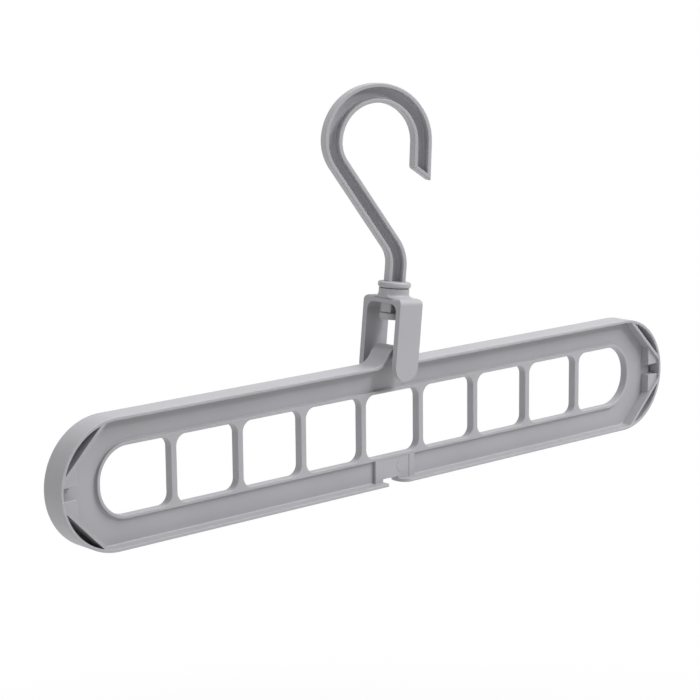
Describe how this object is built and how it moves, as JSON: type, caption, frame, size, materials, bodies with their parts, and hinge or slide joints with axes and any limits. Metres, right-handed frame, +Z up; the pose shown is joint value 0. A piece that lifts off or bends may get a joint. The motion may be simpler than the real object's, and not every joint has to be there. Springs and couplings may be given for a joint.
{
  "type": "clothes hanger",
  "caption": "Long flat moulded rail with a row of windows that take other hangers' hooks, swinging from a forked yoke that swivels under an open rod hook.",
  "frame": {"origin": "the point inside the top of the hook's crown where a wardrobe rod bears", "axes": "+X along the rail to the side that the yoke leans to, +Y through the rail from its front to its back, +Z up"},
  "size_m": [0.345, 0.0266, 0.1699],
  "materials": {
    "grey_plastic": "fine matte injection-moulded polypropylene, cool light grey"
  },
  "bodies": {
    "hook": {"hook": "grey_plastic", "hook_retaining_cap": "grey_plastic"},
    "yoke": {"yoke": "grey_plastic"},
    "rail": {"rail": "grey_plastic"}
  },
  "joints": [
    {"name": "hook_swivel", "type": "hinge", "parent": "hook", "child": "yoke", "pos_m": [0.00192, -0.00499, -0.10588], "axis": [0.1115, 0, 0.9938], "continuous": true},
    {"name": "rail_swing", "type": "hinge", "parent": "yoke", "child": "rail", "pos_m": [0.00192, -0.00499, -0.10588], "axis": [0, 1, 0], "range_deg": [-59.6, 72.4]}
  ]
}
